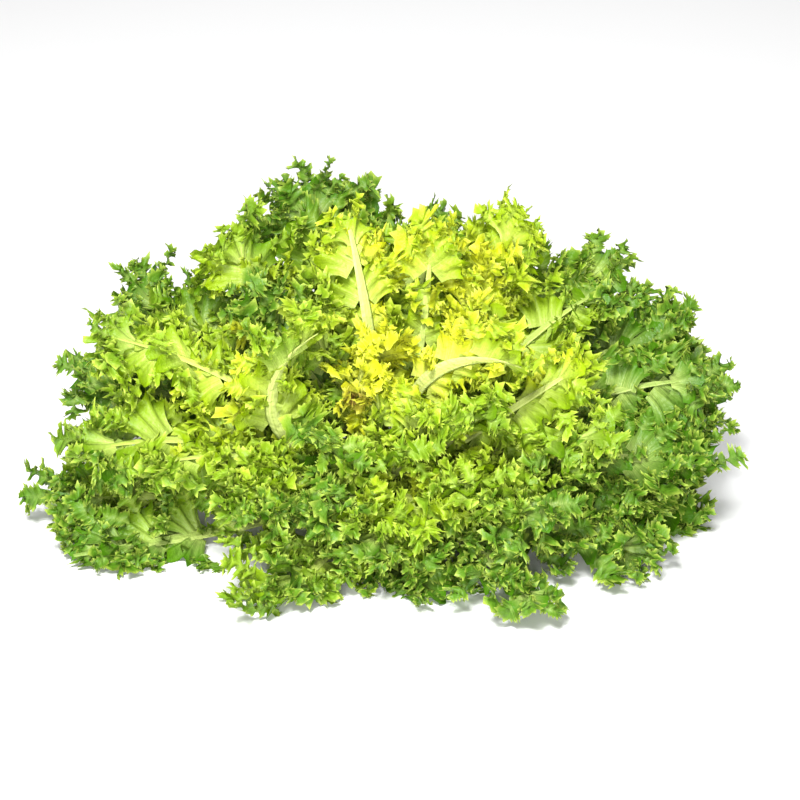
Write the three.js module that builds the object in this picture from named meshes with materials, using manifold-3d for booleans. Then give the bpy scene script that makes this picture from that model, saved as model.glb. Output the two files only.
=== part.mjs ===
// Curly endive (frisee) head: a short cut stump, and the leaves that grow round it in one
// spiral, from long green ones that spread over the table to small yellow ones in the heart.
// Each leaf is one thin blade: a rib, toothed lobes along both sides of it, and a toothed,
// pleated fan at its tip. Millimetres and degrees, +Z up. The origin is the middle of the
// stump's cut face, which stands on the table, and the heart leans towards -Y.
import * as THREE from "three";
import { mergeVertices } from "three/addons/utils/BufferGeometryUtils.js";
import Module from "manifold-3d";

// Driving dimensions of the head.
const LEAF_COUNT = 50;
const GOLDEN_ANGLE = 137.508;
const HEART_LEAN = 24;
const OUTER_LENGTH = 140;
const HEART_LENGTH = 100;
const OUTER_OPENING = 84; // between the head's axis and the root of a leaf
const HEART_OPENING = 6;
const FRONT_CLOSED = 0.18; // share by which leaves at the front open less, as the heart leans
const OUTER_HALF_WIDTH = 37; // from the rib to a lobe's tip, where the leaf is widest
const HEART_HALF_WIDTH = 23;
const SEED = 7.31;

// Where the spiral passes from outer leaves to middle ones, and from those to the heart.
const MIDDLE_FROM = 18;
const HEART_FROM = 34;
const COLOURS = { outer: 0x6a9426, middle: 0x9ab83a, heart: 0xd6dc50, stump: 0xe4e2b6 };

// The head isn't round. Towards each of these azimuths, over this many degrees to each side
// of it, the leaves are longer or shorter by this share.
const UNEVEN = [
  { towards: 270, within: 110, share: -0.3 },
  { towards: 270, within: 25, share: -0.06 },
  { towards: 4, within: 28, share: 0.12 },
  { towards: 112, within: 45, share: 0.15 },
  { towards: 170, within: 45, share: 0.12 },
  { towards: 60, within: 35, share: 0.06 },
];

// Leaves that grow otherwise than the rule gives, by their number in the spiral.
const SHAPED = {
  2: { azimuth: 276, opening: 68, bend: 2, sweep: 2, length: 72 },
  3: { azimuth: 30, opening: 64, bend: 10, droop: 0.3, sweep: -6, length: 154 },
  4: { azimuth: 202, opening: 80, bend: 4, droop: 0.6, sweep: -4, bladeFrom: 0.5, length: 150 },
  6: { azimuth: 108, opening: 51, bend: 8, droop: 0.12, sweep: 2, length: 140 },
  7: { azimuth: 246, opening: 72, bend: 2, droop: 0.1, sweep: 0, length: 110 },
  8: { azimuth: 16, opening: 74, bend: 4, droop: 0.3, sweep: 6, length: 152 },
  10: { azimuth: 298, opening: 64, bend: 6, droop: 0.2, sweep: 6, length: 132 },
  12: { azimuth: 188, opening: 86, bend: 6, droop: 0.7, sweep: -6, length: 156, bladeFrom: 0.5 },
  14: { azimuth: 145, opening: 62, bend: 8, droop: 0.2, sweep: 4, length: 146 },
  16: { azimuth: 41, opening: 57, bend: 8, droop: 0.1, sweep: -4, length: 142 },
  22: { azimuth: 134, opening: 45, bend: 6, droop: 0.05, sweep: 4, length: 131 },
  24: { azimuth: 54, opening: 40, bend: 4, droop: 0.05, sweep: -4, length: 130 },
  33: { azimuth: 226, opening: 50 },
  34: { azimuth: 352, opening: 40, bend: 8, droop: 0, sweep: 8, length: 108 },
  35: { azimuth: 150, opening: 34, bend: 10, droop: 0, sweep: 6, length: 104 },
  38: { azimuth: 200, opening: 62, bend: -140, droop: 0, sweep: -10, length: 140, twist: 150, ribHalfWidth: 3 },
  41: { opening: 36 },
  44: { opening: 28 },
  45: { azimuth: 66, opening: 34, bend: -10, droop: 0, sweep: 24, length: 112 },
  47: { azimuth: 352, opening: -10, bend: 120, droop: 0, sweep: -20, length: 122, twist: 130, ribHalfWidth: 3 },
  49: { opening: 24 },
};

// The stump.
const STUMP_RADIUS = 17;
const STUMP_TOP_RADIUS = 5;
const STUMP_HEIGHT = 38;
const STUMP_SIDES = 24;
const STUMP_RINGS = 6;
const ROOT_HEIGHT = 13; // of the outermost leaves, along the head's axis

// The blade.
const BLADE_THICKNESS = 1;
const RIB_THICKNESS = 3.6;
const RIB_TIP_THICKNESS = 1.4;
const RIB_STEPS = 48;
const TIP_FROM = 0.86; // where the fan at the tip begins, as a share of the length
const FAN_ANGLES = [-66, -55, -44, -33, -22, -11, 0, 11, 22, 33, 44, 55, 66];
const LAYER = 1.3; // how much higher each outer leaf lies than the one before it

// Clearances: between leaves, and above the table. Shorter edges are taken out.
const LEAF_GAP = 0.3;
const FLOOR_GAP = 0.35;
const SHORTEST_EDGE = 0.05;
const LEAST_CROSSING = 0.001; // cubic millimetres
const LEAST_FOLD = 8; // cubic millimetres that lobes of one leaf may share beside their corner

// What a lobe or a fan tries, in order, to keep clear of the older leaves: shares of its full
// length and of its full tilt.
const CHOICES = [
  [1, 1],
  [1, 0.5],
  [1, 0],
  [1, 1.6],
  [1, -0.6],
  [0.8, 0],
  [0.8, 1.5],
  [0.8, -1],
  [0.6, 0],
  [0.6, 1.5],
  [0.6, -1.5],
  [0.45, 0],
  [0.3, 0],
];

const rad = THREE.MathUtils.degToRad;
const mix = THREE.MathUtils.lerp;
const clamp = THREE.MathUtils.clamp;
const v3 = (x, y, z) => new THREE.Vector3(x, y, z);

const UP = v3(0, 0, 1);
const AXIS = v3(0, -Math.sin(rad(HEART_LEAN)), Math.cos(rad(HEART_LEAN)));
const ACROSS = v3(1, 0, 0);
const BEHIND = AXIS.clone().cross(ACROSS);

const wasm = await Module();
wasm.setup();

// A repeatable number from 0 to 1 for one feature of one leaf, and one from -most to most.
function chance(leaf, feature) {
  const x = Math.sin(leaf * 12.9898 + feature * 78.233 + SEED) * 43758.5453;
  return x - Math.floor(x);
}

const spread = (leaf, feature, most) => (2 * chance(leaf, feature) - 1) * most;

// The direction away from the head's axis at an azimuth round it.
function outward(azimuth) {
  const a = rad(azimuth);
  return ACROSS.clone().multiplyScalar(Math.cos(a)).addScaledVector(BEHIND, Math.sin(a));
}

// How much longer than most the leaves towards an azimuth are.
function unevenness(azimuth) {
  let total = 0;
  for (const { towards, within, share } of UNEVEN) {
    const off = Math.abs(((((azimuth - towards) % 360) + 540) % 360) - 180);
    if (off < within) total += share * Math.cos(rad((off / within) * 90)) ** 2;
  }
  return total;
}

// Which of the three kinds leaf i is.
const kindOf = (i) => (i < MIDDLE_FROM ? "outer" : i < HEART_FROM ? "middle" : "heart");

// How leaf i of the spiral grows: 0 is the outermost and oldest.
function growth(i) {
  const inwards = i / (LEAF_COUNT - 1);
  const heart = Math.max(0, (inwards - 0.7) / 0.3);
  const azimuth = i * GOLDEN_ANGLE + spread(i, 1, 7);
  const front = Math.max(0, -Math.sin(rad(azimuth)));
  const opening = mix(HEART_OPENING, OUTER_OPENING, (1 - inwards) ** 0.72) + spread(i, 2, 4);
  const length = mix(OUTER_LENGTH, HEART_LENGTH, inwards ** 2) * (1 - 0.35 * heart ** 2);
  const uneven = 1 + unevenness(azimuth) * (1 - 0.7 * heart);
  return {
    inwards,
    azimuth,
    opening: opening * (1 - FRONT_CLOSED * front),
    bend: mix(8, 34 - 14 * front, inwards) + spread(i, 3, 8) - 62 * heart,
    droop: mix(0.55, 0.1, inwards) * (1 - 0.8 * front),
    sweep: spread(i, 5, mix(14, 40, heart)),
    twist: spread(i, 6, mix(16, 40, heart)),
    length: length * uneven * (1 + spread(i, 7, 0.06)),
    halfWidth: mix(OUTER_HALF_WIDTH, HEART_HALF_WIDTH, inwards) * (1 + spread(i, 8, 0.1)),
    ribHalfWidth: mix(4.2, 2.2, inwards),
    bladeFrom: mix(0.26, 0.12, inwards),
    pairs: i < HEART_FROM ? 6 : 5,
    lowest: FLOOR_GAP + Math.min(i, MIDDLE_FROM) * LAYER,
    ...SHAPED[i],
  };
}

// The stump's radius at a distance along the head's axis: straight, then domed.
function stumpRadius(along) {
  const t = clamp((along - ROOT_HEIGHT) / (STUMP_HEIGHT - ROOT_HEIGHT), 0, 1);
  return mix(STUMP_RADIUS, STUMP_TOP_RADIUS, t ** 1.5);
}

// The rib's line, from the stump to the tip: places with the directions along the rib,
// across the leaf and out of its upper face. It bends away from the axis, sags, and lies
// along the table, or on the leaves under it, where it meets them.
function ribLine(g) {
  const along = mix(ROOT_HEIGHT, STUMP_HEIGHT - 2, g.inwards ** 1.1);
  const rootHalf = (RIB_THICKNESS / 2) * Math.cos(rad(g.opening));
  const off = stumpRadius(along) + rootHalf + LEAF_GAP;
  const place = AXIS.clone().multiplyScalar(along).addScaledVector(outward(g.azimuth), off);
  const step = g.length / RIB_STEPS;
  const stations = [];
  for (let k = 0; k <= RIB_STEPS; k++) {
    const u = k / RIB_STEPS;
    const polar = rad(g.opening + g.bend * u ** 1.4);
    const azimuth = g.azimuth + g.sweep * u ** 1.5;
    const tangent = AXIS.clone()
      .multiplyScalar(Math.cos(polar))
      .addScaledVector(outward(azimuth), Math.sin(polar))
      .addScaledVector(UP, -g.droop * u ** 1.6)
      .normalize();
    const lowest = g.lowest + BLADE_THICKNESS + (RIB_THICKNESS / 2) * (1 - u);
    if (place.z + tangent.z * step < lowest) {
      tangent.z = Math.max(tangent.z, (lowest - place.z) / step);
      tangent.normalize();
    }
    const side = outward(azimuth + 90);
    side.addScaledVector(tangent, -side.dot(tangent)).normalize();
    side.applyAxisAngle(tangent, rad(g.twist * u));
    const face = tangent.clone().cross(side);
    stations.push({ u, place: place.clone(), tangent, side, face });
    place.addScaledVector(tangent, step);
  }
  return (u) => stations[Math.round(u * RIB_STEPS)];
}

// How far the lobes reach at a place along the rib, as a share of the leaf's half-width.
function lobeReach(u) {
  const widening = Math.sin(rad(90) * clamp(u / 0.72, 0, 1)) ** 1.5;
  return mix(0.3, 1, widening) * mix(1, 0.85, u ** 4);
}

function solidOf(places, triangles) {
  const vertProperties = new Float32Array(places);
  const triVerts = new Uint32Array(triangles);
  return new wasm.Manifold(new wasm.Mesh({ numProp: 3, vertProperties, triVerts }));
}

// A leaf's middle surface: points, half the thickness at each, and triangles. No point of it
// comes lower than it may lie.
class Blade {
  constructor(lowest) {
    this.lowest = lowest;
    this.lobes = [];
    this.points = [];
    this.halves = [];
    this.triangles = [];
  }

  add(point, half = BLADE_THICKNESS / 2) {
    point.z = Math.max(point.z, half + this.lowest);
    this.halves.push(half);
    return this.points.push(point) - 1;
  }

  // Triangles given for the left of the rib are turned round for its right.
  face(triangles, sign) {
    for (const [a, b, c] of triangles) this.triangles.push(sign > 0 ? [a, b, c] : [a, c, b]);
  }

  // The closed solid: both faces have the same triangles, and a rim joins them. It can be
  // made larger all round, to cut others clear of it.
  solid(larger = 0) {
    const { points, halves, triangles } = this;
    const count = points.length;
    const normals = points.map(() => v3(0, 0, 0));
    const edges = new Map();
    for (const [a, b, c] of triangles) {
      const normal = points[b].clone().sub(points[a]).cross(points[c].clone().sub(points[a]));
      for (const k of [a, b, c]) normals[k].add(normal);
      for (const [from, to] of [[a, b], [b, c], [c, a]]) edges.set(from * count + to, normal);
    }
    const faces = triangles.flatMap(([a, b, c]) => [a, b, c, count + a, count + c, count + b]);
    const outwards = points.map(() => v3(0, 0, 0));
    for (const [edge, normal] of edges) {
      const from = Math.floor(edge / count);
      const to = edge % count;
      if (edges.has(to * count + from)) continue;
      faces.push(from, count + from, count + to, from, count + to, to);
      const away = points[to].clone().sub(points[from]).cross(normal).normalize();
      outwards[from].add(away);
      outwards[to].add(away);
    }
    const places = [1, -1].flatMap((sign) =>
      points.flatMap((point, k) =>
        point
          .clone()
          .addScaledVector(normals[k].clone().normalize(), sign * (halves[k] + larger))
          .addScaledVector(outwards[k].clone().normalize(), 1.5 * larger)
          .toArray(),
      ),
    );
    return solidOf(places, faces);
  }
}

// The rib with the narrow wing on each side of it, as columns of points across the leaf.
function addRib(blade, g, at) {
  const shares = [0, g.bladeFrom * 0.5];
  for (let j = 0; j <= g.pairs; j++) shares.push(mix(g.bladeFrom, TIP_FROM, j / g.pairs));
  const columns = shares.map((u) => {
    const { place, side, face } = at(u);
    const wing = g.ribHalfWidth * mix(1, 0.75, u);
    const edge = (sign) =>
      blade.add(place.clone().addScaledVector(side, sign * wing).addScaledVector(face, wing / 4));
    const middle = blade.add(place.clone(), mix(RIB_THICKNESS, RIB_TIP_THICKNESS, u) / 2);
    return { u, middle, 1: edge(1), [-1]: edge(-1) };
  });
  for (let c = 1; c < columns.length; c++) {
    const [a, b] = [columns[c - 1], columns[c]];
    for (const sign of [1, -1]) {
      blade.face([[a.middle, b.middle, b[sign]], [a.middle, b[sign], a[sign]]], sign);
    }
  }
  return columns;
}

// Adds to the blade the first of the choices that keeps clear of the older leaves and of the
// blade's other lobes. Where none does, it adds the one that folds into those lobes least.
// join adds one choice to a blade, given where the corners it grows from are in that blade.
function addFirstClear(blade, corners, isClear, join) {
  let best = null;
  for (const choice of CHOICES) {
    const trial = new Blade(blade.lowest);
    join(trial, corners.map((corner) => trial.add(blade.points[corner].clone())), choice);
    if (!isClear(trial.solid(LEAF_GAP))) continue;
    const lobe = trial.solid();
    const folded = Math.max(0, ...blade.lobes.map((other) => lobe.intersect(other).volume()));
    if (!best || folded < best.folded) best = { choice, lobe, folded };
    if (best.folded < LEAST_FOLD) break;
  }
  if (!best) return;
  blade.lobes.push(best.lobe);
  join(blade, corners, best.choice);
}

// Lobe j on one side, with two teeth, which grows from the wing between columns a and b.
function addLobe(blade, i, g, at, [a, b], j, sign, isClear) {
  const feature = 20 + j * 8 + (sign + 1) * 40;
  const [rear, front] = [blade.points[a[sign]], blade.points[b[sign]]];
  const base = rear.clone().add(front).multiplyScalar(0.5);
  const width = rear.distanceTo(front);
  const { u, tangent, side, face } = at((a.u + b.u) / 2);
  const forward = rad(30 + 22 * u + spread(i, feature + 1, 8));
  const ahead = tangent
    .clone()
    .multiplyScalar(Math.cos(forward))
    .addScaledVector(side, -sign * Math.sin(forward));
  const fullLength = g.halfWidth * lobeReach(u) * (1 + spread(i, feature, 0.15));
  const fullTilt = (j % 2 ? -1 : 1) * mix(8, 34, chance(i, feature + 2));
  addFirstClear(blade, [a[sign], b[sign]], isClear, (onto, [hind, fore], [longer, steeper]) => {
    const length = fullLength * longer;
    const tilt = rad(fullTilt * steeper);
    const out = side
      .clone()
      .multiplyScalar(sign * Math.cos(forward) * Math.cos(tilt))
      .addScaledVector(tangent, Math.sin(forward) * Math.cos(tilt))
      .addScaledVector(face, Math.sin(tilt));
    const tooth = (reach, shift, rise) =>
      onto.add(
        base
          .clone()
          .addScaledVector(out, reach * length)
          .addScaledVector(ahead, shift * width)
          .addScaledVector(face, rise * length),
      );
    const hindTooth = tooth(0.82, -0.5, 0.15);
    const notch = tooth(0.66, 0.05, -0.16);
    const foreTooth = tooth(1, 0.5, 0.15);
    const teeth = [[hind, fore, notch], [fore, foreTooth, notch], [hind, notch, hindTooth]];
    onto.face(teeth, sign);
  });
}

// The fan at the tip, pleated, with a tooth at every other pleat.
function addFan(blade, i, g, at, last, isClear) {
  const { place, tangent, side, face } = at(TIP_FROM);
  const corners = [last[-1], last.middle, last[1]];
  addFirstClear(blade, corners, isClear, (onto, [right, middle, left], [longer, steeper]) => {
    const radius = g.halfWidth * 0.92 * longer;
    const tilt = rad(spread(i, 9, 8) + 18 * (steeper - 1));
    const ring = FAN_ANGLES.map((angle, k) => {
      const reach = radius * (k % 2 ? 0.8 : 1);
      const ahead = Math.cos(rad(angle)) * reach;
      return onto.add(
        place
          .clone()
          .addScaledVector(tangent, ahead * Math.cos(tilt))
          .addScaledVector(side, Math.sin(rad(angle)) * reach)
          .addScaledVector(face, (k % 2 ? -0.12 : 0.12) * radius + ahead * Math.sin(tilt)),
      );
    });
    const rim = [right, ...ring, left];
    onto.face(rim.slice(1).map((point, k) => [middle, rim[k], point]), 1);
  });
}

// The whole of leaf i, with its lobes and fan set clear of the older leaves.
function makeBlade(i, isClear) {
  const g = growth(i);
  const at = ribLine(g);
  const blade = new Blade(g.lowest);
  const columns = addRib(blade, g, at);
  for (let j = 0; j < g.pairs; j++) {
    const base = columns.slice(j + 2, j + 4);
    for (const sign of [1, -1]) addLobe(blade, i, g, at, base, j, sign, isClear);
  }
  addFan(blade, i, g, at, columns.at(-1), isClear);
  return blade;
}

// The solid that a closed three.js geometry encloses.
function solidFrom(geometry) {
  geometry.deleteAttribute("normal");
  geometry.deleteAttribute("uv");
  const merged = mergeVertices(geometry);
  return solidOf(merged.getAttribute("position").array, merged.index.array);
}

// The stump about the leaning axis, before it is cut level.
function stumpSolid(larger = 0) {
  const below = -STUMP_RADIUS;
  const profile = [new THREE.Vector2(0, below), new THREE.Vector2(STUMP_RADIUS + larger, below)];
  for (let ring = 0; ring <= STUMP_RINGS; ring++) {
    const along = mix(ROOT_HEIGHT, STUMP_HEIGHT, ring / STUMP_RINGS);
    profile.push(new THREE.Vector2(stumpRadius(along) + larger, along));
  }
  profile.push(new THREE.Vector2(0, STUMP_HEIGHT + larger + 1.5));
  const lathe = new THREE.LatheGeometry(profile, STUMP_SIDES);
  return solidFrom(lathe.rotateX(rad(90 + HEART_LEAN)));
}

// A block under the table's top, which cuts the stump level.
function belowTable() {
  return solidFrom(new THREE.BoxGeometry(200, 200, 60).translate(0, 0, -30));
}

function largest(solid) {
  return solid.decompose().reduce((best, body) => (body.volume() > best.volume() ? body : best));
}

function boxesMeet(a, b) {
  return a.max.every((most, k) => most > b.min[k] && b.max[k] > a.min[k]);
}

const group = new THREE.Group();
const grown = [];

// Adds a finished solid to the head. clearance is the solid made larger, for younger ones.
function place(solid, clearance, kind, name) {
  const { vertProperties, triVerts } = solid.getMesh();
  const geometry = new THREE.BufferGeometry();
  geometry.setAttribute("position", new THREE.BufferAttribute(vertProperties, 3));
  geometry.setIndex(new THREE.BufferAttribute(triVerts, 1));
  geometry.computeVertexNormals();
  const color = COLOURS[kind];
  const material = new THREE.MeshStandardMaterial({ color, roughness: 0.55, metalness: 0 });
  const mesh = new THREE.Mesh(geometry, material);
  mesh.name = name;
  group.add(mesh);
  grown.push({ solid, clearance, box: solid.boundingBox() });
}

// The older parts that a solid crosses.
function crossed(solid) {
  const box = solid.boundingBox();
  return grown.filter(
    (older) =>
      boxesMeet(box, older.box) && solid.intersect(older.solid).volume() > LEAST_CROSSING,
  );
}

place(stumpSolid().subtract(belowTable()), stumpSolid(LEAF_GAP), "stump", "stump");
for (let i = 0; i < LEAF_COUNT; i++) {
  const blade = makeBlade(i, (solid) => crossed(solid).length === 0);
  let leaf = blade.solid();
  for (const older of crossed(leaf)) leaf = leaf.subtract(older.clearance).subtract(older.solid);
  leaf = largest(leaf).simplify(SHORTEST_EDGE);
  for (const older of crossed(leaf)) leaf = largest(leaf.subtract(older.solid));
  const name = `${kindOf(i)}_leaf_${String(i + 1).padStart(2, "0")}`;
  place(leaf, blade.solid(LEAF_GAP), kindOf(i), name);
}

export default group;
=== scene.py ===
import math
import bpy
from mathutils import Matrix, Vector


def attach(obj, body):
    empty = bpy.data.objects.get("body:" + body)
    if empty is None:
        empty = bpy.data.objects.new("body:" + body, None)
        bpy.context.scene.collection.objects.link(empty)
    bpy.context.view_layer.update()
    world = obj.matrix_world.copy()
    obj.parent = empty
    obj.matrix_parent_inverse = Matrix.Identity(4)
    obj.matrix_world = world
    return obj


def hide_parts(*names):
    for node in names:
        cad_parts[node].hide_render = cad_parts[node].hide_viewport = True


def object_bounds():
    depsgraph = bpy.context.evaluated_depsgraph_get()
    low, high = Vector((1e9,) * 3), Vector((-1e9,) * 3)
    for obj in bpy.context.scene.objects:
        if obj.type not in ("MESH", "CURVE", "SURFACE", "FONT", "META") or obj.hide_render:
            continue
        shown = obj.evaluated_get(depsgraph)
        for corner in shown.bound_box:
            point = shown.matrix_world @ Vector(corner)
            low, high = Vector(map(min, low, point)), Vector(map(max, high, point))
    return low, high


bl_info = {
    "name": "Curly Endive Head",
    "version": (1, 0, 0),
    "blender": (4, 5, 0),
    "location": "3D View > Sidebar > Endive",
    "description": (
        "Models a cut head of curly endive leaf by leaf, from its green outer leaves to its heart"
    ),
    "category": "Add Mesh",
}

import bmesh
import bpy
import numpy as np
from mathutils import Matrix, Vector
from mathutils.bvhtree import BVHTree

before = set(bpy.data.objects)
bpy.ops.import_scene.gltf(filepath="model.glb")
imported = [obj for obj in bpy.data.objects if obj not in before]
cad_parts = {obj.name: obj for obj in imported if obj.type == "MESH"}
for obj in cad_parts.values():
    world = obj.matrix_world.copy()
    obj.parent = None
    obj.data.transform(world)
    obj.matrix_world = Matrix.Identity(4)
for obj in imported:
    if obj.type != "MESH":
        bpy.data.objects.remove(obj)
CAD_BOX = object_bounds()

MM = 0.001

# How the head grows, in millimetres and degrees, with the heart leaning towards -Y. These
# values and the rule below are the part's own, so each fine leaf lies where its solid does.
LEAF_COUNT = 50
GOLDEN_ANGLE = 137.508
HEART_LEAN = 24
OUTER_LENGTH = 140
HEART_LENGTH = 100
OUTER_OPENING = 84
HEART_OPENING = 6
FRONT_CLOSED = 0.18
OUTER_HALF_WIDTH = 37
HEART_HALF_WIDTH = 23
SEED = 7.31
MIDDLE_FROM = 18
HEART_FROM = 34
STUMP_RADIUS = 17
STUMP_TOP_RADIUS = 5
STUMP_HEIGHT = 38
ROOT_HEIGHT = 13
BLADE_THICKNESS = 1
RIB_THICKNESS = 3.6
RIB_STEPS = 48
TIP_FROM = 0.86
LAYER = 1.3
LEAF_GAP = 0.3
FLOOR_GAP = 0.35

# Towards an azimuth, over so many degrees to each side, leaves are longer by a share.
UNEVEN = (
    (270, 110, -0.3),
    (270, 25, -0.06),
    (4, 28, 0.12),
    (112, 45, 0.15),
    (170, 45, 0.12),
    (60, 35, 0.06),
)

# Leaves that grow otherwise than the rule gives, by their number in the spiral.
SHAPED = {
    2: dict(azimuth=276, opening=68, bend=2, sweep=2, length=72),
    3: dict(azimuth=30, opening=64, bend=10, droop=0.3, sweep=-6, length=154),
    4: dict(azimuth=202, opening=80, bend=4, droop=0.6, sweep=-4, blade_from=0.5, length=150),
    6: dict(azimuth=108, opening=51, bend=8, droop=0.12, sweep=2, length=140),
    7: dict(azimuth=246, opening=72, bend=2, droop=0.1, sweep=0, length=110),
    8: dict(azimuth=16, opening=74, bend=4, droop=0.3, sweep=6, length=152),
    10: dict(azimuth=298, opening=64, bend=6, droop=0.2, sweep=6, length=132),
    12: dict(azimuth=188, opening=86, bend=6, droop=0.7, sweep=-6, length=156, blade_from=0.5),
    14: dict(azimuth=145, opening=62, bend=8, droop=0.2, sweep=4, length=146),
    16: dict(azimuth=41, opening=57, bend=8, droop=0.1, sweep=-4, length=142),
    22: dict(azimuth=134, opening=45, bend=6, droop=0.05, sweep=4, length=131),
    24: dict(azimuth=54, opening=40, bend=4, droop=0.05, sweep=-4, length=130),
    33: dict(azimuth=226, opening=50),
    34: dict(azimuth=352, opening=40, bend=8, droop=0, sweep=8, length=108),
    35: dict(azimuth=150, opening=34, bend=10, droop=0, sweep=6, length=104),
    38: dict(
        azimuth=200, opening=62, bend=-140, droop=0, sweep=-10, length=140, twist=150,
        rib_half_width=3,
    ),
    41: dict(opening=36),
    44: dict(opening=28),
    45: dict(azimuth=66, opening=34, bend=-10, droop=0, sweep=24, length=112),
    47: dict(
        azimuth=352, opening=-10, bend=120, droop=0, sweep=-20, length=122, twist=130,
        rib_half_width=3,
    ),
    49: dict(opening=24),
}

# Leaves whose frills bend back from the side that faces the way given, so that their ribs lie
# bare, and how much further than other frills they bend, in radians.
BARE = (34, 36, 38, 39, 40, 47)
FRONT = np.array((0.0, -0.93, 0.37))
BARE_TILT = 0.3

# How much greener some leaves are than their place in the head gives. Leaves 35 and 41 are
# greener as painted shade in the pocket inside the curled leaf 38. The front leaves given less
# green are paler, partly in their own colour and partly as painted light where the lamps light
# the front less.
GREENER_WITH_PAINTED_LIGHT = {
    4: -0.14,
    7: -0.6,
    9: 0.34,
    10: -0.1,
    12: -0.14,
    14: -0.12,
    15: -0.5,
    16: 0.14,
    22: -0.14,
    23: -0.26,
    29: 0.16,
    30: 0.3,
    35: 0.45,
    41: 0.35,
}

# The shares of full length and of full tilt that a lobe or a fan may have, the best first, how
# near to the leaf's solid one has to come, in millimetres, and the shares where none does.
CHOICES = (
    (1, 1),
    (1, 0.5),
    (1, 0),
    (1, 1.6),
    (1, -0.6),
    (0.8, 0),
    (0.8, 1.5),
    (0.8, -1),
    (0.6, 0),
    (0.6, 1.5),
    (0.6, -1.5),
    (0.45, 0),
    (0.3, 0),
)
FIT_WITHIN = 4
UNFITTED = (0.6, 1)

# How much closer together a sheet's rows of points lie towards its edge.
ROW_EASING = 1.25

# Sheets of points: their columns, their rows, how many rows along the edge are finer, and how
# many times finer. A tongue's sheet has a column for each step along its edge, and at least
# so many.
RIB_SHEET = (10, 24, 0, 1)
FAN_SHEET = (16, 5, 0, 1)
TONGUE_ROWS = (3, 2, 3)
FEWEST_COLUMNS = 6

# The stump's rings and sides, and how far its crown rises above the last ring.
STUMP_RINGS = 14
STUMP_SIDES = 48
STUMP_CROWN = 1.5

# How far along the leaf the rib's bar goes, and how far it is lifted out of the blade.
BAR_SHARE = 0.92
BAR_LIFT = 0.35

# A lobe's angle, its tilt out of the leaf and its lean towards the tip, in degrees.
LOBE_ANGLE = (85, 115)
LOBE_TILT = (8, 34)
LOBE_FORWARD = 28

# A smooth fan's bend and the height of its waves as shares of its reach, and how many waves.
FAN_BEND = (-0.3, 0.3)
WAVE_HEIGHT = (0.12, 0.32)
WAVES = 3

# The share of a smooth fan's reach at which its tongues are rooted, and how long they are
# against the room there, how wide against the usual and how far tilted out of it, in degrees.
ROOTED_AT = 0.7
TONGUE_REACH = (0.8, 1.12)
TONGUE_WIDTH = (0.75, 1.6)
TONGUE_TILT = (5, 50)

# How far a tongue curls over its whole length and twists, in radians, and bows to a side.
TONGUE_CURL = (-1.6, 1.6)
TONGUE_TWIST = (-1, 1)
TONGUE_BOW = (-0.35, 0.35)

# The share of a tongue's edge that goes round its tip, and the angle from its midvein at
# which the veins run to its sides, in degrees.
TIP_SHARE = 0.3
SIDE_ANGLE = 70

# The folds of a tongue's edge, against the usual fold: how long, high, leaning and far out
# they are, and how far they wander along the edge.
FOLD_LENGTH = (0.5, 1.5)
FOLD_HEIGHT = (0.35, 1.35)
FOLD_LEAN = (-0.6, 0.4)
FOLD_REACH = (0.55, 1.35)
FOLD_WANDER = (0.4, 1.7)

# The teeth against the usual tooth: how long they are, and how far askew.
TOOTH_REACH = (0.3, 1.5)
TOOTH_ASKEW = (-0.7, 0.7)

# The fan at a leaf's tip: its angle, its length against the solid's, and its number among the
# leaf's features.
FAN_ANGLE = 150
FAN_LONGER = 1.16
FAN_FEATURE = 200

# The small lobes on a leaf's stalk: their number among the lobes, where they start and end as
# shares of the stalk, and their length against the others'.
STALK_LOBE = 30
STALK_FROM = 0.7
STALK_TO = 0.9
STALK_LENGTH = 0.6

# The box that the head fills, and how far inside it the leaves start to turn back.
BOX_LOW, BOX_HIGH = np.array(CAD_BOX) / MM
BOX_SOFT = 8.0

# The height above the table at which the leaves start to rise off it, and how softly.
TABLE_CLEAR = 0.8
TABLE_SOFT = 1.6

LEAN = math.radians(HEART_LEAN)
UP = np.array((0.0, 0.0, 1.0))
AXIS = np.array((0.0, -math.sin(LEAN), math.cos(LEAN)))
ACROSS = np.array((1.0, 0.0, 0.0))
BEHIND = np.cross(AXIS, ACROSS)

# The middle of the yellow heart, and of the leaves that part from it to the left. The left
# one counts as so much further off. Leaves are yellow within so far of either, and turn
# green over so much more.
HEART_CENTRE = np.array((26.0, -16.0, 115.0))
LEFT_CENTRE = np.array((-84.0, -26.0, 84.0))
LEFT_FURTHER = 28
YELLOW_WITHIN = 22
GREEN_OVER = 90

# How much greener than others leaves are: all, the innermost, those to the right and those
# behind, and how much a leaf and a lobe may differ by chance.
ALL_GREENER = 0.14
INNER_GREENER = -0.16
RIGHT_GREENER = 0.1
BACK_GREENER = 0.08
LEAF_SPREAD = 0.22
LOBE_SPREAD = 0.17

# Where frills deep in the heart have begun to brown.
BURNT_CENTRE = np.array((-16.0, -51.0, 77.0))
BURNT_RADIUS = 6.0

# The soft lights: their names, places and sizes in metres, and power in watts, and the height
# that they aim at.
SOFTBOXES = (
    ("key softbox", (-0.15, -0.85, 0.95), 0.28, 27.0),
    ("front softbox", (0.0, -1.35, 0.4), 0.45, 15.5),
    ("back softbox", (0.0, 1.0, 1.3), 1.4, 14.0),
)
AIM_HEIGHT = 0.06

# The camera: what it looks at in metres, its lens and sensor in millimetres, and its shift as
# shares of the picture's width.
TARGET = (0.002, 0, 0.06)
LENS = 115.6
SENSOR_WIDTH = 36
SHIFT = (5 / 800, -8 / 800)

# Half the width of the table, in metres, and the share of the light that its paper reflects.
TABLE_HALF_WIDTH = 6
PAPER_REFLECTS = 0.9


def chance(leaf, feature):
    """A repeatable number from 0 to 1 for one feature of one leaf."""
    x = math.sin(leaf * 12.9898 + feature * 78.233 + SEED) * 43758.5453
    return x - math.floor(x)


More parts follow.
